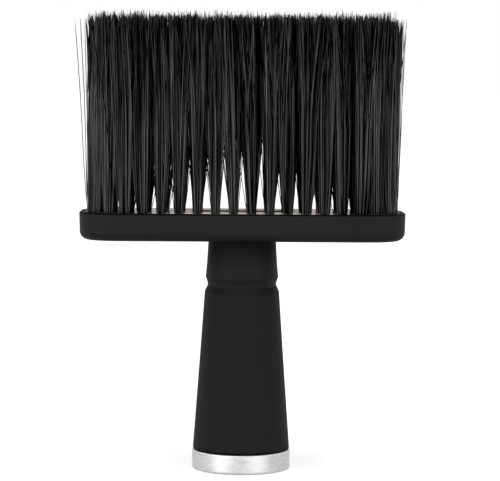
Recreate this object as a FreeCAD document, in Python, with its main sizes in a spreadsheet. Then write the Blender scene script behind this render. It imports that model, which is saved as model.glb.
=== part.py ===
import FreeCAD, Part
import os
import Sketcher

# A barber's neck duster, standing upright on its end cap with the bristles up.
# Millimetres. +Z is up, X runs along the head, and the front faces -Y.
# The origin is the centre of the end cap's bottom face.

SIZES = {
    # end cap and plug
    "cap_diameter": 36.4,
    "cap_height": 7.1,
    "cap_wall": 0.8,
    "cap_foot_radius": 1.0,
    "cap_lip_radius": 0.3,
    "plug_clearance": 0.1,
    "plug_web": 2.5,
    "plug_skirt_height": 6.0,
    "plug_skirt_wall": 1.8,
    "plug_skirt_inset": 0.6,
    # handle: a soft skin over a rigid tube
    "grip_base_diameter": 36.0,
    "grip_top_diameter": 27.6,
    "grip_waist_diameter": 30.8,
    "grip_waist_height": 43.0,
    "grip_foot_radius": 0.8,
    "grip_shoulder_radius": 0.4,
    "grip_lip_diameter": 25.8,
    "skin_thickness": 1.6,
    "shoulder_height": 66.0,
    "core_wall": 2.2,
    "core_web": 4.0,
    "core_top_height": 64.0,
    # neck groove and collar
    "groove_bottom_height": 68.0,
    "groove_diameter": 25.5,
    "groove_top_height": 69.3,
    "collar_foot_clearance": 0.3,
    "collar_shoulder_height": 71.4,
    "collar_shoulder_diameter": 26.95,
    "collar_shoulder_radius": 0.4,
    "collar_lower_diameter": 26.1,
    "collar_lower_height": 76.0,
    "collar_upper_diameter": 25.4,
    "collar_upper_height": 81.5,
    "collar_top_diameter": 25.0,
    "collar_web": 7.0,
    # neck screw, washer and insert
    "screw_diameter": 5.0,
    "screw_clearance": 0.5,
    "screw_head_diameter": 9.5,
    "screw_head_height": 3.5,
    "screw_socket_width": 4.0,
    "screw_socket_depth": 2.0,
    "screw_length": 20.0,
    "washer_diameter": 12.0,
    "washer_thickness": 1.2,
    "insert_diameter": 7.0,
    "insert_waist_diameter": 6.2,
    "insert_length": 8.4,
    "insert_band": 2.8,
    # head
    "head_length": 120.0,
    "head_depth": 40.0,
    "head_bottom_height": 85.5,
    "head_height": 10.1,
    "head_draft": 1.5,
    "head_corner_radius": 14.0,
    "head_under_radius": 3.2,
    "head_lip_radius": 0.3,
    "head_rim": 1.8,
    "tray_depth": 6.2,
    "boss_diameter": 15.0,
    "boss_clearance": 0.1,
    "insert_hole_depth": 10.0,
    "tongue_length": 33.0,
    "tongue_width": 1.4,
    "tongue_rise": 0.25,
    # tuft board
    "board_clearance": 0.1,
    "board_thickness": 6.3,
    "board_edge_radius": 0.3,
    "hole_diameter": 3.6,
    "hole_depth": 5.0,
    # layout of the tufts: six straight rows, then three short columns beyond each end of them
    "row_pitch": 6.1,
    "row_count": 6,
    "column_pitch": 6.6,
    "column_count": 14,
    "near_column_offset": 5.7,
    "near_column_pitch": 5.35,
    "near_column_count": 6,
    "middle_column_offset": 10.7,
    "middle_column_pitch": 21.4,
    "middle_column_count": 2,
    "far_column_offset": 12.4,
    "far_column_pitch": 5.4,
    "far_column_count": 3,
    # tufts and anchors
    "tuft_clearance": 0.1,
    "tuft_flare_height": 34.0,
    "row_tuft_diameter": 6.0,
    "end_tuft_diameter": 5.2,
    "brush_height": 169.0,
    "anchor_width": 3.3,
    "anchor_thickness": 0.4,
    "anchor_height": 1.5,
}

TOLERANCE = 1e-4
FULL_TURN = 360.0
ORIGIN_POINT = (-1, 1)
X_AXIS = -1
Y_AXIS = -2
SIDES = {"left": "-1", "right": "1"}
END_COLUMNS = ("near", "middle", "far")

doc = FreeCAD.newDocument("NeckDuster")
sheet = doc.addObject("Spreadsheet::Sheet", "Sizes")
for cell_row, (size_name, size) in enumerate(SIZES.items(), start=1):
    sheet.set(f"A{cell_row}", size_name)
    sheet.set(f"B{cell_row}", str(size))
    sheet.setAlias(f"B{cell_row}", size_name)
doc.recompute()

# Heights and radii that several sub-parts share, as expressions on the sheet.
CAP_RADIUS = "(Sizes.cap_diameter / 2)"
CAP_BORE_RADIUS = f"({CAP_RADIUS} - Sizes.cap_wall)"
GRIP_FOOT = "Sizes.cap_height"
GRIP_FOOT_RADIUS = "(Sizes.grip_base_diameter / 2)"
GRIP_TOP_RADIUS = "(Sizes.grip_top_diameter / 2)"
SHOULDER = "Sizes.shoulder_height"
CORE_FOOT_RADIUS = f"({GRIP_FOOT_RADIUS} - Sizes.skin_thickness)"
SKIN_LIP_RADIUS = f"({GRIP_TOP_RADIUS} - Sizes.skin_thickness)"
CORE_SLOPE = f"(({CORE_FOOT_RADIUS} - {SKIN_LIP_RADIUS}) / ({SHOULDER} - {GRIP_FOOT}))"
CORE_TOP_RADIUS = f"({SKIN_LIP_RADIUS} + {CORE_SLOPE} * ({SHOULDER} - Sizes.core_top_height))"
CORE_WEB_BOTTOM = "(Sizes.core_top_height - Sizes.core_web)"
COLLAR_WEB_TOP = "(Sizes.core_top_height + Sizes.collar_web)"
SCREW_RADIUS = "(Sizes.screw_diameter / 2)"
SCREW_HOLE_RADIUS = "((Sizes.screw_diameter + Sizes.screw_clearance) / 2)"
WASHER_BOTTOM = f"({CORE_WEB_BOTTOM} - Sizes.washer_thickness)"
SCREW_HEAD_BOTTOM = f"({WASHER_BOTTOM} - Sizes.screw_head_height)"
BOSS_RADIUS = "(Sizes.boss_diameter / 2)"
HEAD_BOTTOM = "Sizes.head_bottom_height"
HEAD_TOP = f"({HEAD_BOTTOM} + Sizes.head_height)"
TRAY_FLOOR = f"({HEAD_TOP} - Sizes.tray_depth)"
BOARD_TOP = f"({TRAY_FLOOR} + Sizes.board_thickness)"
HOLE_FLOOR = f"({BOARD_TOP} - Sizes.hole_depth)"
TUFT_FOOT = f"({HOLE_FLOOR} + Sizes.anchor_height)"
GRID_LENGTH = "((Sizes.column_count - 1) * Sizes.column_pitch)"
GRID_DEPTH = "((Sizes.row_count - 1) * Sizes.row_pitch)"
GRID_CORNER = (f"(-{GRID_LENGTH} / 2)", f"(-{GRID_DEPTH} / 2)")


def number(expression):
    """The value of an expression on the sheet."""
    return float(sheet.evalExpression(expression))


def new_body(label):
    body = doc.addObject("PartDesign::Body", label)
    body.Label = label
    body.AllowCompound = True
    return body


def new_sketch(body, role, name, offset):
    """A sketch on one of the body's own origin planes, moved by expressions along the sketch's axes."""
    plane = next(part for part in body.Origin.OriginFeatures if part.Role == role)
    sketch = body.newObject("Sketcher::SketchObject", name)
    sketch.AttachmentSupport = (plane, [""])
    sketch.MapMode = "FlatFace"
    for axis, expression in zip("xyz", offset):
        sketch.setExpression(f".AttachmentOffset.Base.{axis}", f"({expression}) * 1 mm")
    return sketch


def level_sketch(body, name, height, place=("0", "0")):
    """A horizontal sketch at a height, with its own origin at a place."""
    return new_sketch(body, "XY_Plane", name, (place[0], place[1], height))


def upright_sketch(body, name, place=("0", "0")):
    """An upright sketch of radius and height, whose vertical axis stands at a place."""
    return new_sketch(body, "XZ_Plane", name, (place[0], "0", f"-({place[1]})"))


def bind(sketch, name, constraint, expression):
    """Adds a constraint whose value is an expression on the sheet."""
    index = sketch.addConstraint(constraint)
    sketch.renameConstraint(index, name)
    sketch.setExpression(f"Constraints.{name}", expression)


def bulging_arc(start, end, radius):
    """An arc from start to end that bulges to the right of the straight line between them."""
    chord = end - start
    sagitta = radius - (radius**2 - (chord.Length / 2) ** 2) ** 0.5
    right = FreeCAD.Vector(chord.y, -chord.x, 0).normalize()
    return Part.Arc(start, (start + end) / 2 + right * sagitta, end)


def draw_outline(sketch, corners):
    """A closed outline through corners, each an (x, y) pair of expressions.

    A corner (x, y, radius) starts a bulging arc of that radius instead of a straight line.
    """
    points = [FreeCAD.Vector(number(corner[0]), number(corner[1]), 0) for corner in corners]
    curves = []
    for start, end, corner in zip(points, points[1:] + points[:1], corners):
        if len(corner) > 2:
            curves.append(bulging_arc(start, end, number(corner[2])))
        else:
            curves.append(Part.LineSegment(start, end))
    sketch.addGeometry(curves, False)
    first_end = [
        1 if sketch.getPoint(curve, 1).isEqual(point, TOLERANCE) else 2
        for curve, point in enumerate(points)
    ]
    for curve, corner in enumerate(corners):
        after = (curve + 1) % len(corners)
        last_end = 3 - first_end[curve]
        sketch.addConstraint(
            Sketcher.Constraint("Coincident", curve, last_end, after, first_end[after])
        )
        if len(corner) > 2:
            radius = number(corner[2])
            bind(sketch, f"bow{curve}", Sketcher.Constraint("Radius", curve, radius), corner[2])
    for curve, (corner, point) in enumerate(zip(corners, points)):
        place_point(sketch, f"corner{curve}", (curve, first_end[curve]), corner, point)


def place_point(sketch, name, vertex, place, point):
    """Ties a vertex to a place, a pair of expressions, measured from the sketch's origin."""
    directions = (("X", Y_AXIS, place[0], point.x), ("Y", X_AXIS, place[1], point.y))
    for direction, zero_line, expression, value in directions:
        if abs(value) < TOLERANCE:
            sketch.addConstraint(Sketcher.Constraint("PointOnObject", *vertex, zero_line))
            continue
        constraint = Sketcher.Constraint(f"Distance{direction}", *ORIGIN_POINT, *vertex, value)
        bind(sketch, name + direction, constraint, expression)


def draw_rectangle(sketch, length, depth):
    """A rectangle about the sketch's origin."""
    signs = ((-1, -1), (1, -1), (1, 1), (-1, 1))
    draw_outline(sketch, [(f"{x} * ({length}) / 2", f"{y} * ({depth}) / 2") for x, y in signs])


def draw_rounded_rectangle(sketch, length, depth, radius):
    """A rectangle with round corners about the sketch's origin."""
    x_far, y_far = f"({length}) / 2", f"({depth}) / 2"
    x_near, y_near = f"({x_far} - ({radius}))", f"({y_far} - ({radius}))"
    draw_outline(
        sketch,
        [
            (f"-{x_near}", f"-{y_far}"),
            (x_near, f"-{y_far}", radius),
            (x_far, f"-{y_near}"),
            (x_far, y_near, radius),
            (x_near, y_far),
            (f"-{x_near}", y_far, radius),
            (f"-{x_far}", y_near),
            (f"-{x_far}", f"-{y_near}", radius),
        ],
    )


def draw_circle(sketch, radius):
    """A circle about the sketch's origin."""
    sketch.addGeometry(Part.Circle(FreeCAD.Vector(), FreeCAD.Vector(0, 0, 1), number(radius)), False)
    sketch.addConstraint(Sketcher.Constraint("Coincident", 0, 3, *ORIGIN_POINT))
    bind(sketch, "radius", Sketcher.Constraint("Radius", 0, number(radius)), radius)


def extrude(body, kind, name, sketch, length, reverse=False):
    """A Pad or Pocket of a sketch."""
    feature = body.newObject(f"PartDesign::{kind}", name)
    feature.Profile = sketch
    feature.setExpression("Length", length)
    feature.Reversed = reverse
    doc.recompute()
    return feature


def revolve(body, name, sketch):
    """A full turn of a sketch about its own vertical axis."""
    feature = body.newObject("PartDesign::Revolution", name)
    feature.Profile = sketch
    feature.ReferenceAxis = (sketch, ["V_Axis"])
    feature.Angle = FULL_TURN
    doc.recompute()
    return feature


def repeat_on_grid(body, name, seed, sketch, rows):
    """Repeats a feature along the columns, and over all the rows if rows is true."""
    grid = body.newObject("PartDesign::LinearPattern", name)
    grid.Originals = [seed]
    grid.Direction = (sketch, ["H_Axis"])
    grid.setExpression("Length", GRID_LENGTH)
    grid.setExpression("Occurrences", "Sizes.column_count")
    if rows:
        grid.Direction2 = (sketch, ["V_Axis"])
        grid.setExpression("Length2", GRID_DEPTH)
        grid.setExpression("Occurrences2", "Sizes.row_count")
    body.Tip = grid
    doc.recompute()
    return grid


def repeat_on_column(body, name, seed, column):
    """Repeats a feature from front to back down one of the short columns."""
    level = level_sketch(body, f"{name}_way", "0")
    pattern = body.newObject("PartDesign::LinearPattern", name)
    pattern.Originals = [seed]
    pattern.Direction = (level, ["V_Axis"])
    pattern.setExpression("Length", f"Sizes.{column}_column_pitch * (Sizes.{column}_column_count - 1)")
    pattern.setExpression("Occurrences", f"Sizes.{column}_column_count")
    body.Tip = pattern
    doc.recompute()
    return pattern


def column_start(column, side):
    """The place of the front tuft of a short column."""
    return (
        f"{SIDES[side]} * ({GRID_LENGTH} / 2 + Sizes.{column}_column_offset)",
        f"(-Sizes.{column}_column_pitch * (Sizes.{column}_column_count - 1) / 2)",
    )


def round_edges(body, name, feature, is_wanted, radius):
    """Fillets the edges of a feature that pass a test."""
    edges = enumerate(feature.Shape.Edges, start=1)
    fillet = body.newObject("PartDesign::Fillet", name)
    fillet.Base = (feature, [f"Edge{index}" for index, edge in edges if is_wanted(edge)])
    fillet.setExpression("Radius", radius)
    doc.recompute()
    return fillet


def at_height(height):
    """A test for edges that lie level at a height."""
    level = number(height)

    def test(edge):
        box = edge.BoundBox
        return abs(box.ZMin - level) < TOLERANCE and abs(box.ZMax - level) < TOLERANCE

    return test


def at_ring(radius, height):
    """A test for level circles of a radius at a height."""
    is_level = at_height(height)
    wanted = number(radius)

    def test(edge):
        round_edge = isinstance(edge.Curve, Part.Circle)
        return round_edge and is_level(edge) and abs(edge.Curve.Radius - wanted) < TOLERANCE

    return test


def turned_body(label, corners):
    """A body turned from an outline of radius and height."""
    body = new_body(label)
    sketch = upright_sketch(body, f"{label}_profile")
    draw_outline(sketch, corners)
    return body, revolve(body, f"{label}_turning", sketch)


def make_base_cap():
    """A shallow aluminium cup, pressed over the plug."""
    body, turning = turned_body(
        "base_cap",
        [
            ("0", "0"),
            (CAP_RADIUS, "0"),
            (CAP_RADIUS, "Sizes.cap_height"),
            (CAP_BORE_RADIUS, "Sizes.cap_height"),
            (CAP_BORE_RADIUS, "Sizes.cap_wall"),
            ("0", "Sizes.cap_wall"),
        ],
    )
    foot = round_edges(
        body, "base_cap_foot", turning, at_ring(CAP_RADIUS, "0"), "Sizes.cap_foot_radius"
    )
    lip = at_ring(CAP_RADIUS, "Sizes.cap_height")
    round_edges(body, "base_cap_lip", foot, lip, "Sizes.cap_lip_radius")
    return body


def make_base_plug():
    """A plug that fills the cap, carries the handle's end and reaches up into the core."""
    flange_radius = f"({CAP_BORE_RADIUS} - Sizes.plug_clearance)"
    skirt_radius = f"({CORE_FOOT_RADIUS} - Sizes.core_wall - Sizes.plug_skirt_inset)"
    bore_radius = f"({skirt_radius} - Sizes.plug_skirt_wall)"
    skirt_top = f"({GRIP_FOOT} + Sizes.plug_skirt_height)"
    web_top = "(Sizes.cap_wall + Sizes.plug_web)"
    body, _ = turned_body(
        "base_plug",
        [
            ("0", "Sizes.cap_wall"),
            (flange_radius, "Sizes.cap_wall"),
            (flange_radius, GRIP_FOOT),
            (skirt_radius, GRIP_FOOT),
            (skirt_radius, skirt_top),
            (bore_radius, skirt_top),
            (bore_radius, web_top),
            ("0", web_top),
        ],
    )
    return body


def make_handle_core():
    """A rigid conical tube, closed at the top by the web that the neck screw pulls on."""
    bore_foot_radius = f"({CORE_FOOT_RADIUS} - Sizes.core_wall)"
    bore_top_radius = f"({CORE_TOP_RADIUS} - Sizes.core_wall)"
    body, _ = turned_body(
        "handle_core",
        [
            (bore_foot_radius, GRIP_FOOT),
            (CORE_FOOT_RADIUS, GRIP_FOOT),
            (CORE_TOP_RADIUS, "Sizes.core_top_height"),
            (SCREW_HOLE_RADIUS, "Sizes.core_top_height"),
            (SCREW_HOLE_RADIUS, CORE_WEB_BOTTOM),
            (bore_top_radius, CORE_WEB_BOTTOM),
        ],
    )
    return body


def make_handle_grip():
    """A soft skin that tapers faster below its waist, and slopes in to the groove at its top."""
    lip_top = "Sizes.groove_bottom_height"
    body, turning = turned_body(
        "handle_grip",
        [
            (CORE_FOOT_RADIUS, GRIP_FOOT),
            (GRIP_FOOT_RADIUS, GRIP_FOOT),
            ("Sizes.grip_waist_diameter / 2", "Sizes.grip_waist_height"),
            (GRIP_TOP_RADIUS, SHOULDER),
            ("Sizes.grip_lip_diameter / 2", lip_top),
            (SKIN_LIP_RADIUS, lip_top),
            (SKIN_LIP_RADIUS, SHOULDER),
        ],
    )
    foot = at_ring(GRIP_FOOT_RADIUS, GRIP_FOOT)
    rounded = round_edges(body, "handle_grip_foot", turning, foot, "Sizes.grip_foot_radius")
    shoulder = at_ring(GRIP_TOP_RADIUS, SHOULDER)
    round_edges(body, "handle_grip_shoulder", rounded, shoulder, "Sizes.grip_shoulder_radius")
    return body


def make_neck_collar():
    """A tapered collar with the upper half of the neck groove, over the head's boss."""
    foot_radius = f"({SKIN_LIP_RADIUS} - Sizes.collar_foot_clearance)"
    groove_radius = "(Sizes.groove_diameter / 2)"
    bore_radius = f"({BOSS_RADIUS} + Sizes.boss_clearance)"
    shoulder_radius = "(Sizes.collar_shoulder_diameter / 2)"
    shoulder_height = "Sizes.collar_shoulder_height"
    body, turning = turned_body(
        "neck_collar",
        [
            (SCREW_HOLE_RADIUS, "Sizes.core_top_height"),
            (foot_radius, "Sizes.core_top_height"),
            (foot_radius, "Sizes.groove_bottom_height"),
            (groove_radius, "Sizes.groove_bottom_height"),
            (groove_radius, "Sizes.groove_top_height"),
            (shoulder_radius, shoulder_height),
            ("Sizes.collar_lower_diameter / 2", "Sizes.collar_lower_height"),
            ("Sizes.collar_upper_diameter / 2", "Sizes.collar_upper_height"),
            ("Sizes.collar_top_diameter / 2", HEAD_BOTTOM),
            (bore_radius, HEAD_BOTTOM),
            (bore_radius, COLLAR_WEB_TOP),
            (SCREW_HOLE_RADIUS, COLLAR_WEB_TOP),
        ],
    )
    shoulder = at_ring(shoulder_radius, shoulder_height)
    round_edges(body, "neck_collar_shoulder", turning, shoulder, "Sizes.collar_shoulder_radius")
    return body


def make_neck_insert():
    """A brass thread insert, waisted so that it can't pull out of the boss."""
    radius = "(Sizes.insert_diameter / 2)"
    waist_radius = "(Sizes.insert_waist_diameter / 2)"
    top = f"({COLLAR_WEB_TOP} + Sizes.insert_length)"
    waist_bottom = f"({COLLAR_WEB_TOP} + Sizes.insert_band)"
    waist_top = f"({top} - Sizes.insert_band)"
    body, _ = turned_body(
        "neck_insert",
        [
            (SCREW_RADIUS, COLLAR_WEB_TOP),
            (radius, COLLAR_WEB_TOP),
            (radius, waist_bottom),
            (waist_radius, waist_bottom),
            (waist_radius, waist_top),
            (radius, waist_top),
            (radius, top),
            (SCREW_RADIUS, top),
        ],
    )
    return body


def make_neck_washer():
    radius = "(Sizes.washer_diameter / 2)"
    body, _ = turned_body(
        "neck_washer",
        [
            (SCREW_HOLE_RADIUS, WASHER_BOTTOM),
            (radius, WASHER_BOTTOM),
            (radius, CORE_WEB_BOTTOM),
            (SCREW_HOLE_RADIUS, CORE_WEB_BOTTOM),
        ],
    )
    return body


def make_neck_screw():
    """A socket screw, head down, from inside the core up into the insert."""
    head_radius = "(Sizes.screw_head_diameter / 2)"
    screw_top = f"({WASHER_BOTTOM} + Sizes.screw_length)"
    body, _ = turned_body(
        "neck_screw",
        [
            ("0", SCREW_HEAD_BOTTOM),
            (head_radius, SCREW_HEAD_BOTTOM),
            (head_radius, WASHER_BOTTOM),
            (SCREW_RADIUS, WASHER_BOTTOM),
            (SCREW_RADIUS, screw_top),
            ("0", screw_top),
        ],
    )
    socket = level_sketch(body, "neck_screw_hexagon", SCREW_HEAD_BOTTOM)
    corner_radius = "Sizes.screw_socket_width / sqrt(3)"
    angles = range(0, 360, 60)
    draw_outline(
        socket,
        [(f"{corner_radius} * cos({a} deg)", f"{corner_radius} * sin({a} deg)") for a in angles],
    )
    extrude(body, "Pocket", "neck_screw_socket", socket, "Sizes.screw_socket_depth", reverse=True)
    return body


def make_head_block():
    """The moulded back: a drafted bar with a tray in its top and a boss under its middle."""
    body = new_body("head_block")
    plan = level_sketch(body, "head_plan", HEAD_TOP)
    corner_radius = "Sizes.head_corner_radius"
    draw_rounded_rectangle(plan, "Sizes.head_length", "Sizes.head_depth", corner_radius)
    bar = extrude(body, "Pad", "head_bar", plan, "Sizes.head_height", reverse=True)
    bar.setExpression("TaperAngle", "-Sizes.head_draft")
    doc.recompute()
    underside = at_height(HEAD_BOTTOM)
    under = round_edges(body, "head_underside", bar, underside, "Sizes.head_under_radius")
    round_edges(body, "head_lip", under, at_height(HEAD_TOP), "Sizes.head_lip_radius")

    mouth = level_sketch(body, "tray_plan", HEAD_TOP)
    draw_inset_plan(mouth, "Sizes.head_rim")
    extrude(body, "Pocket", "tray", mouth, "Sizes.tray_depth")

    boss_plan = level_sketch(body, "boss_plan", HEAD_BOTTOM)
    draw_circle(boss_plan, BOSS_RADIUS)
    extrude(body, "Pad", "boss", boss_plan, f"{HEAD_BOTTOM} - {COLLAR_WEB_TOP}", reverse=True)
    insert_plan = level_sketch(body, "insert_plan", COLLAR_WEB_TOP)
    draw_circle(insert_plan, "Sizes.insert_diameter / 2")
    extrude(body, "Pocket", "insert_hole", insert_plan, "Sizes.insert_hole_depth", reverse=True)

    tongue_plan = level_sketch(body, "tongue_plan", TRAY_FLOOR)
    draw_rectangle(tongue_plan, "Sizes.tongue_length", "Sizes.tongue_width")
    extrude(body, "Pad", "tongue", tongue_plan, "Sizes.board_thickness + Sizes.tongue_rise")
    return body


def draw_inset_plan(sketch, inset):
    """The head's plan, drawn in by an inset."""
    length = f"Sizes.head_length - 2 * {inset}"
    depth = f"Sizes.head_depth - 2 * {inset}"
    draw_rounded_rectangle(sketch, length, depth, f"Sizes.head_corner_radius - {inset}")


def make_tuft_board():
    """The drilled board that fills the tray, slotted for the head's tongue."""
    body = new_body("tuft_board")
    plan = level_sketch(body, "board_plan", TRAY_FLOOR)
    draw_inset_plan(plan, "(Sizes.head_rim + Sizes.board_clearance)")
    slab = extrude(body, "Pad", "board_slab", plan, "Sizes.board_thickness")
    round_edges(body, "board_edge", slab, at_height(BOARD_TOP), "Sizes.board_edge_radius")

    slot = level_sketch(body, "tongue_slot_plan", BOARD_TOP)
    play = "2 * Sizes.board_clearance"
    draw_rectangle(slot, f"Sizes.tongue_length + {play}", f"Sizes.tongue_width + {play}")
    extrude(body, "Pocket", "tongue_slot", slot, "Sizes.board_thickness")

    def drill(name, place):
        sketch = level_sketch(body, f"{name}_plan", BOARD_TOP, place)
        draw_circle(sketch, "Sizes.hole_diameter / 2")
        return extrude(body, "Pocket", name, sketch, "Sizes.hole_depth"), sketch

    fill_layout(body, "hole", drill)
    return body


def fill_layout(body, name, make_seed):
    """Repeats what make_seed makes at every place of the grid and of the short columns."""
    seed, sketch = make_seed(name, GRID_CORNER)
    repeat_on_grid(body, f"{name}_grid", seed, sketch, rows=True)
    for side in SIDES:
        for column in END_COLUMNS:
            seed, _ = make_seed(f"{name}_{column}_{side}", column_start(column, side))
            repeat_on_column(body, f"{name}_{column}_{side}_column", seed, column)


def make_tuft_anchors():
    """The flat metal staples at the bottoms of the holes."""
    body = new_body("tuft_anchors")

    def staple(name, place):
        sketch = level_sketch(body, f"{name}_plan", HOLE_FLOOR, place)
        draw_rectangle(sketch, "Sizes.anchor_width", "Sizes.anchor_thickness")
        return extrude(body, "Pad", name, sketch, "Sizes.anchor_height"), sketch

    fill_layout(body, "anchor", staple)
    return body


def make_tuft(body, name, place, crown_diameter):
    """One tuft: a straight root in its hole, a flare above the board, and a straight crown."""
    root_radius = "(Sizes.hole_diameter - Sizes.tuft_clearance) / 2"
    crown_radius = f"{crown_diameter} / 2"
    sketch = upright_sketch(body, f"{name}_profile", place)
    draw_outline(
        sketch,
        [
            ("0", TUFT_FOOT),
            (root_radius, TUFT_FOOT),
            (root_radius, BOARD_TOP),
            (crown_radius, f"{BOARD_TOP} + Sizes.tuft_flare_height"),
            (crown_radius, "Sizes.brush_height"),
            ("0", "Sizes.brush_height"),
        ],
    )
    return revolve(body, name, sketch), sketch


def make_tuft_row(row):
    """A straight row of tufts, counted from the front."""
    body = new_body(f"tuft_row_{row}")
    place = (GRID_CORNER[0], f"({GRID_CORNER[1]} + {row - 1} * Sizes.row_pitch)")
    tuft, sketch = make_tuft(body, f"row_{row}_tuft", place, "Sizes.row_tuft_diameter")
    repeat_on_grid(body, f"row_{row}_tufts", tuft, sketch, rows=False)
    return body


def make_end_tufts(side):
    """The short columns of tufts that round off one end of the field."""
    body = new_body(f"tufts_{side}_end")
    for column in END_COLUMNS:
        name = f"{column}_{side}_tuft"
        tuft, _ = make_tuft(body, name, column_start(column, side), "Sizes.end_tuft_diameter")
        repeat_on_column(body, f"{name}s", tuft, column)
    return body


def check_document():
    """Stops if any object of the document failed to compute."""
    for item in doc.Objects:
        if "Invalid" in item.State or "Error" in item.State:
            raise RuntimeError(f"{item.Name} failed: {item.State}")


def export(body):
    shape = body.Shape
    if shape.isNull() or not shape.isValid() or not shape.Solids:
        raise RuntimeError(f"{body.Label} has no valid shape")
    shape.exportStep(f"parts/{body.Label}.step")
    print(f"{body.Label}: {len(shape.Solids)} solids, {shape.Volume / 1000:.2f} cm3")


sub_parts = [
    make_base_cap(),
    make_base_plug(),
    make_handle_core(),
    make_handle_grip(),
    make_neck_washer(),
    make_neck_screw(),
    make_neck_insert(),
    make_neck_collar(),
    make_head_block(),
    make_tuft_board(),
    make_tuft_anchors(),
]
for row_number in range(1, int(number("Sizes.row_count")) + 1):
    sub_parts.append(make_tuft_row(row_number))
for end in SIDES:
    sub_parts.append(make_end_tufts(end))

doc.recompute()
check_document()
os.makedirs("parts", exist_ok=True)
for sub_part in sub_parts:
    export(sub_part)
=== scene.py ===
import math

import bpy
import numpy as np
from mathutils import Matrix, Vector


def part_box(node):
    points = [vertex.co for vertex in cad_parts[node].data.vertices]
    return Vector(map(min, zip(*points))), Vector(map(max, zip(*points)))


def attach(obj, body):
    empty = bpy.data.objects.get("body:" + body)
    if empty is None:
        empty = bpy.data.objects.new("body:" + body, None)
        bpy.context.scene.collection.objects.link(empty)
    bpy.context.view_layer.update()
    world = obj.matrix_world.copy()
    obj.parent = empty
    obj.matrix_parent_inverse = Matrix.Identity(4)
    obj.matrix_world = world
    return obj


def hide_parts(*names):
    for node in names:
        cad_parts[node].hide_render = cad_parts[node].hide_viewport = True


# A barber's neck duster, standing on its end cap on a pale floor. Metres, in the CAD frame:
# +Z up, X along the head, front at -Y. Bristles are made here; the hard parts are the CAD's own.

SEED = 7
MM = 0.001
GOLDEN_ANGLE = math.pi * (3 - math.sqrt(5))

# Layout of the tufts, as drilled in the board.
COLUMN_PITCH = 6.6 * MM
COLUMN_COUNT = 14
ROW_PITCH = 6.1 * MM
ROW_COUNT = 6
GRID_END = (COLUMN_COUNT - 1) / 2 * COLUMN_PITCH
# Short columns at each end: how far past the grid, and the pitch and count of their tufts.
SHORT_COLUMNS = {
    "near": {"offset": 5.7 * MM, "pitch": 5.35 * MM, "count": 6},
    "middle": {"offset": 10.7 * MM, "pitch": 21.4 * MM, "count": 2},
    "far": {"offset": 12.4 * MM, "pitch": 5.4 * MM, "count": 3},
}
# Tufts farther than this from the field's middle line are its edge.
EDGE_DISTANCE = 2.0 * ROW_PITCH

# Bristles. Each tuft flares from its hole to its crown, then runs up to the tips.
FILAMENTS_PER_TUFT = 110
FILAMENT_SIDES = 4
FILAMENT_RADIUS = 0.14 * MM
TAPER_START = 0.91
TAPER_RADIUS = 0.125 * MM
TIP_RADIUS = 0.03 * MM
# Where a filament's rings are, as shares of its length from root to tip.
STATIONS = np.array([0.0, 0.04, 0.12, 0.28, 0.45, 0.62, 0.8, 0.91, 0.97, 1.0])

# Root: a round bundle that starts below the board's top.
ROOT_RADIUS = 1.48 * MM
ROOT_DEPTH = 2.0 * MM
ROOT_JITTER = 0.04 * MM

# Crown: how far up the filament it is, and how many times as wide as the root.
CROWN_HEIGHT = 0.55
CROWN_SPREAD = (2.03, 2.35)
CROWN_JITTER = 0.35 * MM
# Power of the flare by the distance from FLARE_CENTRE, as a share of GRID_END. A lower power
# flares sooner.
FLARE_CENTRE = -6.0 * MM
FLARE_POWERS = {0.0: 1.2, 0.6: 0.62, 1.0: 0.42}

# Leans of a whole tuft, of the locks in it and of single tips.
TUFT_LEAN = 0.5 * MM
LOCKS_PER_TUFT = 9
LOCK_LEAN = 1.3 * MM
LOCK_PULL = 0.35
TIP_JITTER = 0.8 * MM

# Hairs that cross the others or stray: their share, how far they lean, and the most deviations.
CROSSING_SHARE = 0.1
CROSSING_LEAN = 4.5 * MM
STRAY_SHARE = 0.03
STRAY_LEAN = 2.2 * MM
LEAN_LIMIT = 1.6

# Hairs at the field's edge keep only a share of what goes out beyond a reach.
CROWN_HOLD = {"reach": 0.9 * MM, "give": 0.12}
TIP_HOLD = {"reach": 0.3 * MM, "give": 0.2}

# Every hair bows a little between root and tip, and a wisp bows more.
BOW = 0.25 * MM
WISP_SHARE = 0.07
WISP_BOW = 2.0 * MM

# Spikes: near the top, hairs draw together in points that rise to different heights.
SPIKES_PER_TUFT = 14
SPIKE_REACH = 1.5 * MM
SPIKE_START = 0.84
SPIKE_PULL = 0.8
SPIKE_EASE = 1.5
SPIKE_RISE = 0.75 * MM
SPIKE_LIMIT = 2.6 * MM
SPIKE_SLOPE = 1.6

# Height of the tips about the brush's top, lower beyond END_START along X.
TIP_LIFT = 0.9 * MM
TIP_DROP = 0.35 * MM
END_START = 51.0 * MM
END_LENGTH = 6.0 * MM
END_DROP = 1.8 * MM

# Noises: scale times the stretch along an axis gives the cells to a metre; detail adds finer ones.
FINE_GRAIN = {"scale": 1500}
MOULDING_CLOUD = {"scale": 60, "detail": 3.0}
BOARD_CLOUD = {"scale": 90, "detail": 4.0}
BRUSH_LINES = {"detail": 4.0, "stretch": (300, 300, 2500)}
NYLON_STREAKS = {"stretch": (900, 900, 30)}

# Relief made from a noise.
MOULDING_RELIEF = {"distance": 0.03 * MM, "strength": 0.35}
BOARD_RELIEF = {"distance": 0.02 * MM, "strength": 0.1}
BRUSH_RELIEF = {"distance": 0.01 * MM, "strength": 0.25}

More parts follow.
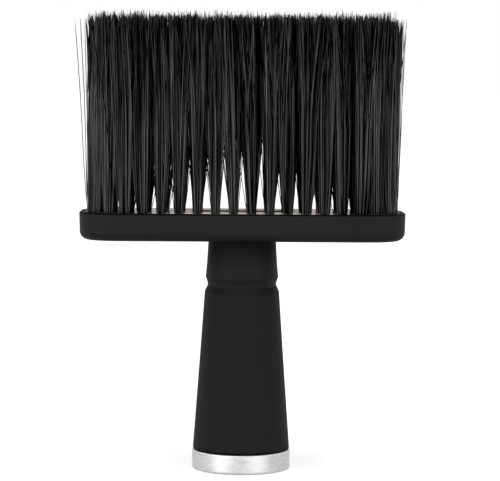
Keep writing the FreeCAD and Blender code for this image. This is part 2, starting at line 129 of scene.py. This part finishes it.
# Board: its colours, where a painted shade darkens it toward the ends as shares of its half length, and
# the painted shade along its border.
BOARD_DARK = (0.86, 0.74, 0.64)
BOARD_LIGHT = (0.97, 0.85, 0.74)
BOARD_END_SHADE = (0.03, 0.032, 0.034)
BOARD_END_SHADE_SPAN = (0.34, 0.62)
BOARD_CORNER = 12.1 * MM
BOARD_BORDER = (0.9 * MM, 1.2 * MM)
BOARD_BORDER_SHADE = 0.03
BOARD_ROUGHNESS = 0.1
BOARD_SHINE = 0.5
BOARD_SHINE_TINT = (1.0, 0.86, 0.75, 1.0)
BOARD_SHEEN = 1.0
BOARD_SHEEN_ROUGHNESS = 0.25
BOARD_SHEEN_TINT = (1.0, 0.82, 0.68, 1.0)

# Nylon: its colours, the heights and the strength of the painted shade that darkens its tips, and where
# tint and gloss set in.
NYLON_DARK = (0.0006, 0.0006, 0.0006)
NYLON_LIGHT = (0.076, 0.0745, 0.078)
NYLON_SHADE_HEIGHTS = (125.0 * MM, 168.0 * MM)
NYLON_TIP_PAINTED_SHADE = 0.62
NYLON_TINT_RANGE = (0.15, 0.55)
NYLON_GLOSS_RANGE = (0.1, 0.55)
NYLON_ROUGHNESS = (0.5, 0.34)

# Mouldings and metals. A mottled colour goes down to MOTTLE_SHADE of itself.
HEAD_BLACK = (0.0107, 0.0103, 0.0129)
COLLAR_BLACK = (0.0084, 0.0084, 0.0089)
SKIN_BLACK = (0.008, 0.008, 0.0084)
INNER_BLACK = (0.05, 0.05, 0.05)
MOULDING_SHINE = 0.15
MOULDING_ROUGHNESS_SWING = 0.05
ZINC = (0.7, 0.71, 0.73)
BRASS = (0.8, 0.6, 0.27)
METAL_ROUGHNESS_SWING = 0.06
MOTTLE_SHADE = 0.85
ALUMINIUM_DARK = (0.78, 0.78, 0.79)
ALUMINIUM_LIGHT = (0.97, 0.97, 0.98)
ALUMINIUM_ROUGHNESS = (0.4, 0.5)
BRUSHED_ANISOTROPY = 0.6
QUARTER_TURN = 0.25

# Painted shade on the mouldings by height, on colour and shine: from, to, and the shade below and above.
# Painted shade: the head's top lip is darkened, standing in for the shade under the bristles.
HEAD_PAINTED_SHADES = [(95.05 * MM, 95.3 * MM, 1.0, 0.2)]
# Painted shadow: the collar darkens toward the head, standing in for the shadow under the block.
COLLAR_PAINTED_SHADES = [(74.0 * MM, 84.0 * MM, 1.0, 0.6)]
# Painted shade: the grip darkens at its foot as a contact shadow above the cap, and a little at its
# shoulder in the groove.
SKIN_PAINTED_SHADES = [(7.1 * MM, 8.5 * MM, 0.1, 1.0), (65.2 * MM, 65.7 * MM, 1.0, 0.8)]

# A Mix node's colour sockets go by their places, as its number sockets have the same names.
MIX_A, MIX_B, MIX_RESULT = 6, 7, 2

# Camera: lens in mm on a 36 mm sensor, place, and turns in degrees.
LENS = 154.0
CAMERA_PLACE = Vector((-5.0, -791.5, 142.6)) * MM
CAMERA_YAW = -0.571
CAMERA_PITCH = 4.175
CAMERA_ROLL = 0.38

# Studio: azimuth and elevation in degrees, distance, size and radiance of each soft box.
AIM = Vector((0, 0, 0.08))
SOFTBOXES = {
    "side_box": (-88, 14, 1.2, (0.8, 1.1), 0.15),
    "left_box": (-47, 16, 1.2, (0.95, 1.1), 1.5),
    "right_box": (40, 16, 1.2, (0.95, 1.1), 1.2),
    "front_box": (-4, 24, 1.2, (0.7, 0.9), 0.5),
}
OVERHEAD_LIGHT = 1.3
OVERHEAD_ANGLE = 110
OVERHEAD_PLACE = AIM + Vector((0, 0, 2))
# The world lights as a tent, with its floor and roof blended; the camera sees it plain white.
TENT_BELOW = 0.56
TENT_ABOVE = 0.72
TENT_BLEND = (-0.35, 0.35)
BACKDROP = 1.0
FLOOR_SIZE = 60.0
FLOOR_COLOUR = (0.98, 0.98, 0.98, 1)
FLOOR_ROUGHNESS = 0.9


# ---------------------------------------------------------------- nodes


def new_material(name):
    """A node material, and its Principled shader."""
    material = bpy.data.materials.new(name)
    material.use_nodes = True
    return material, material.node_tree.nodes["Principled BSDF"]


def add_node(material, kind, **values):
    """A node with its properties or inputs set by name."""
    node = material.node_tree.nodes.new(kind)
    for name, value in values.items():
        if hasattr(node, name):
            setattr(node, name, value)
        else:
            node.inputs[name].default_value = value
    return node


def link(material, source, target):
    material.node_tree.links.new(source, target)


def noise(material, scale=1.0, detail=2.0, stretch=(1, 1, 1)):
    """Noise in the frame's own coordinates, in metres, stretched along each axis."""
    place = add_node(material, "ShaderNodeTexCoord")
    mapping = add_node(material, "ShaderNodeMapping", Scale=stretch)
    texture = add_node(material, "ShaderNodeTexNoise", Scale=scale, Detail=detail)
    link(material, place.outputs["Object"], mapping.inputs["Vector"])
    link(material, mapping.outputs["Vector"], texture.inputs["Vector"])
    return texture.outputs["Fac"]


def ramp(material, source, low, high, start=0.3, end=0.7):
    """Maps a factor to a range of greys or colours."""
    node = add_node(material, "ShaderNodeValToRGB")
    for stop, (position, value) in zip(node.color_ramp.elements, ((start, low), (end, high))):
        stop.position = position
        stop.color = (*value, 1) if isinstance(value, tuple) else (value, value, value, 1)
    link(material, source, node.inputs["Fac"])
    return node.outputs["Color"]


def spread(material, source, start, end, low=0.0, high=1.0):
    """Maps a value from one range to another, held at both ends."""
    node = add_node(material, "ShaderNodeMapRange")
    for name, value in (("From Min", start), ("From Max", end), ("To Min", low), ("To Max", high)):
        node.inputs[name].default_value = value
    link(material, source, node.inputs["Value"])
    return node.outputs["Result"]


def place_in_frame(material):
    """The three coordinates of a point in the frame, in metres."""
    place = add_node(material, "ShaderNodeTexCoord")
    split = add_node(material, "ShaderNodeSeparateXYZ")
    link(material, place.outputs["Object"], split.inputs["Vector"])
    return split.outputs


def calculate(material, operation, *sources):
    """One Math node; each source is a socket or a number."""
    node = add_node(material, "ShaderNodeMath", operation=operation)
    for source, target in zip(sources, node.inputs):
        if isinstance(source, (int, float)):
            target.default_value = source
        else:
            link(material, source, target)
    return node.outputs["Value"]


def shaded(material, colour, shade):
    """A colour socket times a grey one."""
    node = add_node(material, "ShaderNodeMix", data_type="RGBA", blend_type="MULTIPLY", Factor=1.0)
    link(material, colour, node.inputs[MIX_A])
    link(material, shade, node.inputs[MIX_B])
    return node.outputs[MIX_RESULT]


def mottled(material, source, colour):
    """A colour that a noise darkens in places."""
    return ramp(material, source, tuple(MOTTLE_SHADE * part for part in colour), colour)


def bump(material, shader, source, distance, strength):
    """Fine relief from a noise."""
    node = add_node(material, "ShaderNodeBump", Distance=distance, Strength=strength)
    link(material, source, node.inputs["Height"])
    link(material, node.outputs["Normal"], shader.inputs["Normal"])


# ---------------------------------------------------------------- materials


def black_moulding(name, colour, roughness, grain, painted_shades):
    """Matte black plastic or soft-touch skin with a fine moulded grain; painted shade by height darkens
    its colour and shine.
    """
    material, shader = new_material(name)
    cloud = noise(material, **MOULDING_CLOUD)
    tint = mottled(material, cloud, colour)
    shine = MOULDING_SHINE
    shader.inputs["Specular IOR Level"].default_value = shine
    for start, end, below, above in painted_shades:
        # Painted shade: each height band darkens the colour and the shine.
        shade = spread(material, place_in_frame(material)["Z"], start, end, below, above)
        tint = shaded(material, tint, shade)
        shine = calculate(material, "MULTIPLY", shine, shade)
        link(material, shine, shader.inputs["Specular IOR Level"])
    link(material, tint, shader.inputs["Base Color"])
    swing = MOULDING_ROUGHNESS_SWING
    link(material, ramp(material, cloud, roughness - swing, roughness + swing), shader.inputs["Roughness"])
    bump(material, shader, noise(material, 1 / grain), **MOULDING_RELIEF)
    return material


def brushed_aluminium():
    """Brushed round the cap: the shine spreads up and down, across the brush lines."""
    material, shader = new_material("brushed_aluminium")
    shader.inputs["Metallic"].default_value = 1.0
    shader.inputs["Anisotropic"].default_value = BRUSHED_ANISOTROPY
    shader.inputs["Anisotropic Rotation"].default_value = QUARTER_TURN
    around = add_node(material, "ShaderNodeTangent", direction_type="RADIAL", axis="Z")
    link(material, around.outputs["Tangent"], shader.inputs["Tangent"])
    lines = noise(material, **BRUSH_LINES)
    tint = ramp(material, lines, ALUMINIUM_DARK, ALUMINIUM_LIGHT)
    link(material, tint, shader.inputs["Base Color"])
    link(material, ramp(material, lines, *ALUMINIUM_ROUGHNESS), shader.inputs["Roughness"])
    bump(material, shader, lines, **BRUSH_RELIEF)
    return material


def plain_metal(name, colour, roughness):
    """Plain metal with a fine mottle."""
    material, shader = new_material(name)
    shader.inputs["Metallic"].default_value = 1.0
    grain = noise(material, **FINE_GRAIN)
    link(material, mottled(material, grain, colour), shader.inputs["Base Color"])
    swing = METAL_ROUGHNESS_SWING
    link(material, ramp(material, grain, roughness - swing, roughness + swing), shader.inputs["Roughness"])
    return material


def black_nylon():
    """Black filament: shade and shine change from hair to hair and along each, and a painted shade darkens
    both toward the tips.
    """
    material, shader = new_material("black_nylon")
    hair = add_node(material, "ShaderNodeNewGeometry").outputs["Random Per Island"]
    along = noise(material, **NYLON_STREAKS)
    # Painted shade: colour and gloss darken toward the tips.
    painted_tip_shade = spread(material, place_in_frame(material)["Z"], *NYLON_SHADE_HEIGHTS, 1.0, NYLON_TIP_PAINTED_SHADE)
    shade = calculate(material, "MULTIPLY", calculate(material, "MULTIPLY", hair, along), painted_tip_shade)
    tint = ramp(material, shade, NYLON_DARK, NYLON_LIGHT, *NYLON_TINT_RANGE)
    link(material, tint, shader.inputs["Base Color"])
    gloss = ramp(material, shade, 0.0, 1.0, *NYLON_GLOSS_RANGE)
    link(material, gloss, shader.inputs["Specular IOR Level"])
    link(material, ramp(material, along, *NYLON_ROUGHNESS), shader.inputs["Roughness"])
    return material


def board_inset(material, sides):
    """How far a point of the board is in from its rounded outline; each side is a place and its end."""
    beyond = [
        calculate(material, "MAXIMUM", calculate(material, "SUBTRACT", place, end - BOARD_CORNER), 0)
        for place, end in sides
    ]
    squares = [calculate(material, "MULTIPLY", part, part) for part in beyond]
    reach = calculate(material, "SQRT", calculate(material, "ADD", *squares))
    return calculate(material, "SUBTRACT", BOARD_CORNER, reach)


def pale_board():
    """Shiny ivory in the middle; painted shade darkens the colour, the sheen and the shine toward the ends
    and along the border.
    """
    material, shader = new_material("pale_board")
    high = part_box("tuft_board")[1]
    along, across = (
        calculate(material, "ABSOLUTE", place_in_frame(material)[axis]) for axis in "XY"
    )
    inset = board_inset(material, ((along, high.x), (across, high.y)))
    # Painted shade along the border, standing in for the shade where the board meets the rim.
    border = spread(material, inset, *BOARD_BORDER, BOARD_BORDER_SHADE, 1.0)
    # Painted shade toward both ends, standing in for the shade between the close end tufts.
    fade = ramp(material, spread(material, along, 0, high.x), (1, 1, 1), BOARD_END_SHADE, *BOARD_END_SHADE_SPAN)
    pale = shaded(material, fade, border)
    cloud = ramp(material, noise(material, **BOARD_CLOUD), BOARD_DARK, BOARD_LIGHT)
    link(material, shaded(material, cloud, pale), shader.inputs["Base Color"])
    shine = calculate(material, "MULTIPLY", pale, BOARD_SHINE)
    link(material, shine, shader.inputs["Specular IOR Level"])
    sheen = calculate(material, "MULTIPLY", pale, BOARD_SHEEN)
    link(material, sheen, shader.inputs["Sheen Weight"])
    shader.inputs["Roughness"].default_value = BOARD_ROUGHNESS
    shader.inputs["Specular Tint"].default_value = BOARD_SHINE_TINT
    shader.inputs["Sheen Roughness"].default_value = BOARD_SHEEN_ROUGHNESS
    shader.inputs["Sheen Tint"].default_value = BOARD_SHEEN_TINT
    bump(material, shader, noise(material, **FINE_GRAIN), **BOARD_RELIEF)
    return material


def dress(frame):
    """Gives each CAD node its material, but for the tufts, which the bristles replace."""
    inner = black_moulding("inner_plastic", INNER_BLACK, roughness=0.5, grain=0.4 * MM, painted_shades=[])
    skin = black_moulding("soft_touch", SKIN_BLACK, roughness=0.62, grain=0.22 * MM, painted_shades=SKIN_PAINTED_SHADES)
    collar = black_moulding(
        "collar_plastic", COLLAR_BLACK, roughness=0.55, grain=0.3 * MM, painted_shades=COLLAR_PAINTED_SHADES
    )
    head = black_moulding("head_plastic", HEAD_BLACK, roughness=0.55, grain=0.3 * MM, painted_shades=HEAD_PAINTED_SHADES)
    steel = plain_metal("zinc_steel", ZINC, roughness=0.35)
    looks = {
        "base_cap": brushed_aluminium(),
        "base_plug": inner,
        "handle_core": inner,
        "handle_grip": skin,
        "neck_collar": collar,
        "neck_insert": plain_metal("insert_brass", BRASS, roughness=0.3),
        "neck_screw": steel,
        "neck_washer": steel,
        "head_block": head,
        "tuft_board": pale_board(),
        "tuft_anchors": steel,
    }
    for node, material in looks.items():
        frame["nodes"][node].data.materials.clear()
        frame["nodes"][node].data.materials.append(material)


# ---------------------------------------------------------------- bristles


def straight_places(row):
    """The tuft places of one straight row, counted from the front."""
    y = (row - 1 - (ROW_COUNT - 1) / 2) * ROW_PITCH
    return [(-GRID_END + column * COLUMN_PITCH, y) for column in range(COLUMN_COUNT)]


def end_places(side):
    """The tuft places of the short columns at one end; side is -1 or 1."""
    places = []
    for column in SHORT_COLUMNS.values():
        first = -column["pitch"] * (column["count"] - 1) / 2
        for index in range(column["count"]):
            places.append((side * (GRID_END + column["offset"]), first + index * column["pitch"]))
    return places


def outward(place):
    """The level direction from the field's middle line out through a place, and how far it is."""
    x, y = place
    beyond = math.copysign(max(abs(x) - GRID_END, 0.0), x)
    away = np.array((beyond, y))
    distance = float(np.hypot(*away))
    return away / distance, distance


def hold_in(offsets, out, reach, give):
    """Keeps hairs at the field's edge from leaning far beyond it."""
    excess = np.maximum(offsets @ out - reach, 0)
    return offsets - (1 - give) * excess[:, None] * out


def gather(offsets, count, random):
    """Picks hairs to gather round; the way from each hair to its own, and which one that is."""
    seeds = offsets[random.choice(len(offsets), count, replace=False)]
    nearest = np.linalg.norm(offsets[:, None] - seeds[None], axis=2).argmin(axis=1)
    return seeds[nearest] - offsets, nearest


def lean_across(crown, tip, share, lean, random):
    """Leans some of the hairs from the root up, each its own way; says which ones."""
    chosen = random.random(len(crown)) < share
    way = lean * np.clip(random.normal(0, 1, (chosen.sum(), 2)), -LEAN_LIMIT, LEAN_LIMIT)
    crown[chosen] += CROWN_HEIGHT * way
    tip[chosen] += way
    return chosen


def root_bundle(random):
    """Where the filaments of a tuft start, about the middle of its hole."""
    number = np.arange(FILAMENTS_PER_TUFT)
    turns = number * GOLDEN_ANGLE + random.uniform(0, math.tau)
    reach = ROOT_RADIUS * np.sqrt((number + 0.5) / FILAMENTS_PER_TUFT)
    root = np.stack((reach * np.cos(turns), reach * np.sin(turns)), axis=1)
    return root + random.normal(0, ROOT_JITTER, root.shape)


def crowns_and_tips(place, root, random):
    """Where the filaments are at the crown and at the tip, and which ones stray."""
    lean = random.normal(0, TUFT_LEAN, 2)
    crown = root * random.uniform(*CROWN_SPREAD) + lean
    crown += random.normal(0, CROWN_JITTER, crown.shape)
    lock_pull, lock = gather(crown, LOCKS_PER_TUFT, random)
    tip = crown + lean + LOCK_PULL * lock_pull
    tip += random.normal(0, LOCK_LEAN, (LOCKS_PER_TUFT, 2))[lock]
    tip += random.normal(0, TIP_JITTER, crown.shape)
    lean_across(crown, tip, CROSSING_SHARE, CROSSING_LEAN, random)
    out, distance = outward(place)
    if distance > EDGE_DISTANCE:
        crown = hold_in(crown, out, **CROWN_HOLD)
        tip = hold_in(tip, out, **TIP_HOLD)
    stray = lean_across(crown, tip, STRAY_SHARE, STRAY_LEAN, random)
    return crown, tip, stray


def spikes(place, tip, stray, tip_z, random):
    """The way from each tip to its spike, and the height at which each tip ends."""
    pull, spike = gather(tip, SPIKES_PER_TUFT, random)
    pull[stray | (np.linalg.norm(pull, axis=1) > SPIKE_REACH)] = 0
    rise = np.minimum(random.exponential(SPIKE_RISE, SPIKES_PER_TUFT), SPIKE_LIMIT)
    slope = SPIKE_SLOPE * np.linalg.norm(pull, axis=1)
    end = np.clip((abs(place[0]) - END_START) / END_LENGTH, 0, 1)
    top = tip_z + TIP_LIFT - SPIKE_LIMIT + rise[spike] - slope - END_DROP * end
    return pull, top - np.abs(random.normal(0, TIP_DROP, len(tip)))


def bows(place, random):
    """Which way and how far each filament bows; wisps are only inside the field."""
    inside = outward(place)[1] < EDGE_DISTANCE
    wisp = (random.random(FILAMENTS_PER_TUFT) < WISP_SHARE) & inside
    angle = random.uniform(0, math.tau, FILAMENTS_PER_TUFT)
    size = np.where(wisp, WISP_BOW, BOW) * random.random(FILAMENTS_PER_TUFT)
    return size[:, None] * np.stack((np.cos(angle), np.sin(angle)), axis=1)


def flare_power(x):
    """The power of the flare for a tuft at X."""
    sideways = min(abs(x - FLARE_CENTRE) / GRID_END, 1)
    return np.interp(sideways, list(FLARE_POWERS), list(FLARE_POWERS.values()))


def tuft_lines(place, root_z, tip_z, random):
    """The centre lines of one tuft's filaments: an array (filament, station, xyz)."""
    root = root_bundle(random)
    crown, tip, stray = crowns_and_tips(place, root, random)
    spike_pull, top = spikes(place, tip, stray, tip_z, random)
    bow = bows(place, random)

    t = STATIONS[None, :, None]
    flare = np.minimum(t / CROWN_HEIGHT, 1) ** flare_power(place[0])
    above = np.clip((t - CROWN_HEIGHT) / (1 - CROWN_HEIGHT), 0, 1)
    pull = np.clip((t - SPIKE_START) / (1 - SPIKE_START), 0, 1) ** SPIKE_EASE
    level = root[:, None] + (crown - root)[:, None] * flare + (tip - crown)[:, None] * above
    level = level + SPIKE_PULL * spike_pull[:, None] * pull
    level = level + bow[:, None] * np.sin(math.pi * t) + np.array(place)
    height = root_z + (top - root_z)[:, None] * STATIONS
    return np.concatenate((level, height[..., None]), axis=2)


def tube_faces(count, stations):
    """The four-sided faces of so many closed tubes: the walls between rings, and both end caps."""
    side = np.arange(FILAMENT_SIDES)
    after = (side + 1) % FILAMENT_SIDES
    step = np.arange(stations - 1)[:, None] * FILAMENT_SIDES
    walls = np.stack(
        (step + side, step + after, step + after + FILAMENT_SIDES, step + side + FILAMENT_SIDES),
        axis=2,
    ).reshape(-1, 4)
    caps = np.stack((side[::-1], side + (stations - 1) * FILAMENT_SIDES))
    faces = np.concatenate((walls, caps))
    faces = faces[None] + np.arange(count)[:, None, None] * stations * FILAMENT_SIDES
    return faces.reshape(-1, 4)


def tubes(name, lines):
    """One mesh of closed, tapering tubes along the lines."""
    radii = np.interp(STATIONS, (0, TAPER_START, 1), (FILAMENT_RADIUS, TAPER_RADIUS, TIP_RADIUS))
    angles = np.arange(FILAMENT_SIDES) / FILAMENT_SIDES * math.tau
    ring = np.stack((np.cos(angles), np.sin(angles), np.zeros(FILAMENT_SIDES)), axis=1)
    points = lines[:, :, None] + ring * radii[:, None, None]
    points = points.reshape(-1, 3)
    faces = tube_faces(*lines.shape[:2])

    mesh = bpy.data.meshes.new(name)
    mesh.vertices.add(len(points))
    mesh.vertices.foreach_set("co", points.astype(np.float32).ravel())
    mesh.loops.add(faces.size)
    mesh.loops.foreach_set("vertex_index", faces.astype(np.int32).ravel())
    mesh.polygons.add(len(faces))
    mesh.polygons.foreach_set("loop_start", np.arange(0, faces.size, 4, dtype=np.int32))
    mesh.update(calc_edges=True)
    mesh.validate()
    mesh.shade_smooth()
    piece = bpy.data.objects.new(name, mesh)
    bpy.context.scene.collection.objects.link(piece)
    return piece


def make_bristles():
    """Bundles of filaments in place of the CAD's solid tufts."""
    nylon = black_nylon()
    board_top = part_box("tuft_board")[1].z
    brush_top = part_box("tuft_row_1")[1].z
    groups = {f"tuft_row_{row}": straight_places(row) for row in range(1, ROW_COUNT + 1)}
    groups["tufts_left_end"] = end_places(-1)
    groups["tufts_right_end"] = end_places(1)
    for number, (node, places) in enumerate(groups.items()):
        random = np.random.default_rng(SEED + number)
        lines = [
            tuft_lines(place, board_top - ROOT_DEPTH, brush_top, random)
            for place in places
        ]
        piece = tubes(node.replace("tuft", "bristle"), np.concatenate(lines))
        piece.data.materials.append(nylon)
        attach(piece, "root")
        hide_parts(node)


# ---------------------------------------------------------------- studio


def make_camera():
    """The camera at the viewing angle, turned by yaw, then pitch, then roll."""
    data = bpy.data.cameras.new("camera")
    data.lens = LENS
    camera = bpy.data.objects.new("camera", data)
    bpy.context.scene.collection.objects.link(camera)
    yaw = Matrix.Rotation(math.radians(CAMERA_YAW), 4, "Z")
    pitch = Matrix.Rotation(math.radians(90 - CAMERA_PITCH), 4, "X")
    roll = Matrix.Rotation(math.radians(CAMERA_ROLL), 4, "Z")
    camera.matrix_world = Matrix.Translation(CAMERA_PLACE) @ yaw @ pitch @ roll
    bpy.context.scene.camera = camera


def make_floor():
    """A wide pale floor that throws no light back on the brush."""
    mesh = bpy.data.meshes.new("floor")
    half = FLOOR_SIZE / 2
    corners = [(-half, -half, 0), (half, -half, 0), (half, half, 0), (-half, half, 0)]
    mesh.from_pydata(corners, [], [(0, 1, 2, 3)])
    floor = bpy.data.objects.new("floor", mesh)
    bpy.context.scene.collection.objects.link(floor)
    material, shader = new_material("floor")
    shader.inputs["Base Color"].default_value = FLOOR_COLOUR
    shader.inputs["Roughness"].default_value = FLOOR_ROUGHNESS
    shader.inputs["Specular IOR Level"].default_value = 0.0
    mesh.materials.append(material)
    floor.visible_diffuse = False
    floor.visible_glossy = False


def add_light(name, kind, place, energy):
    """A light aimed at the middle of the brush, not seen by the camera."""
    data = bpy.data.lights.new(name, kind)
    data.energy = energy
    light = bpy.data.objects.new(name, data)
    light.location = place
    light.rotation_mode = "QUATERNION"
    light.rotation_quaternion = (AIM - place).to_track_quat("-Z", "Y")
    light.visible_camera = False
    bpy.context.scene.collection.objects.link(light)
    return data


def add_softbox(name, azimuth, elevation, distance, size, radiance):
    """A soft box round the brush; azimuth 0 is the front, and positive is to the right."""
    turn = math.radians(azimuth)
    rise = math.radians(elevation)
    level = math.cos(rise)
    way = Vector((math.sin(turn) * level, -math.cos(turn) * level, math.sin(rise)))
    width, height = size
    box = add_light(name, "AREA", AIM + distance * way, radiance * math.pi * width * height)
    box.shape = "RECTANGLE"
    box.size, box.size_y = width, height


def make_world():
    """The tent of light round the brush."""
    world = bpy.data.worlds.new("studio")
    world.use_nodes = True
    bpy.context.scene.world = world
    nodes, links = world.node_tree.nodes, world.node_tree.links
    background = nodes["Background"]
    background.inputs["Color"].default_value = (1, 1, 1, 1)
    place = nodes.new("ShaderNodeTexCoord")
    upward = nodes.new("ShaderNodeSeparateXYZ")
    tent = nodes.new("ShaderNodeMapRange")
    tent.inputs["From Min"].default_value, tent.inputs["From Max"].default_value = TENT_BLEND
    tent.inputs["To Min"].default_value = TENT_BELOW
    tent.inputs["To Max"].default_value = TENT_ABOVE
    path = nodes.new("ShaderNodeLightPath")
    strength = nodes.new("ShaderNodeMix")
    strength.inputs["B"].default_value = BACKDROP
    links.new(place.outputs["Generated"], upward.inputs["Vector"])
    links.new(upward.outputs["Z"], tent.inputs["Value"])
    links.new(tent.outputs["Result"], strength.inputs["A"])
    links.new(path.outputs["Is Camera Ray"], strength.inputs["Factor"])
    links.new(strength.outputs["Result"], background.inputs["Strength"])


def make_light():
    """The world, the soft boxes and a wide light overhead."""
    make_world()
    for name, box in SOFTBOXES.items():
        add_softbox(name, *box)
    sun = add_light("overhead", "SUN", OVERHEAD_PLACE, OVERHEAD_LIGHT)
    sun.angle = math.radians(OVERHEAD_ANGLE)
    bpy.context.scene.view_settings.view_transform = "Standard"


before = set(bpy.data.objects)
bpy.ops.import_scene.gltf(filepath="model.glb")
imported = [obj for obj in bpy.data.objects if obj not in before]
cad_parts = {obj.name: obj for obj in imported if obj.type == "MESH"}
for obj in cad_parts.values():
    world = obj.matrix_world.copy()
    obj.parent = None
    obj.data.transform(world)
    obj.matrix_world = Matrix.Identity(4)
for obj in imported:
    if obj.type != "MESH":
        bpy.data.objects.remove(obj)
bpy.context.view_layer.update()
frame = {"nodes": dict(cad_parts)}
make_camera()
dress(frame)
make_bristles()
make_floor()
make_light()
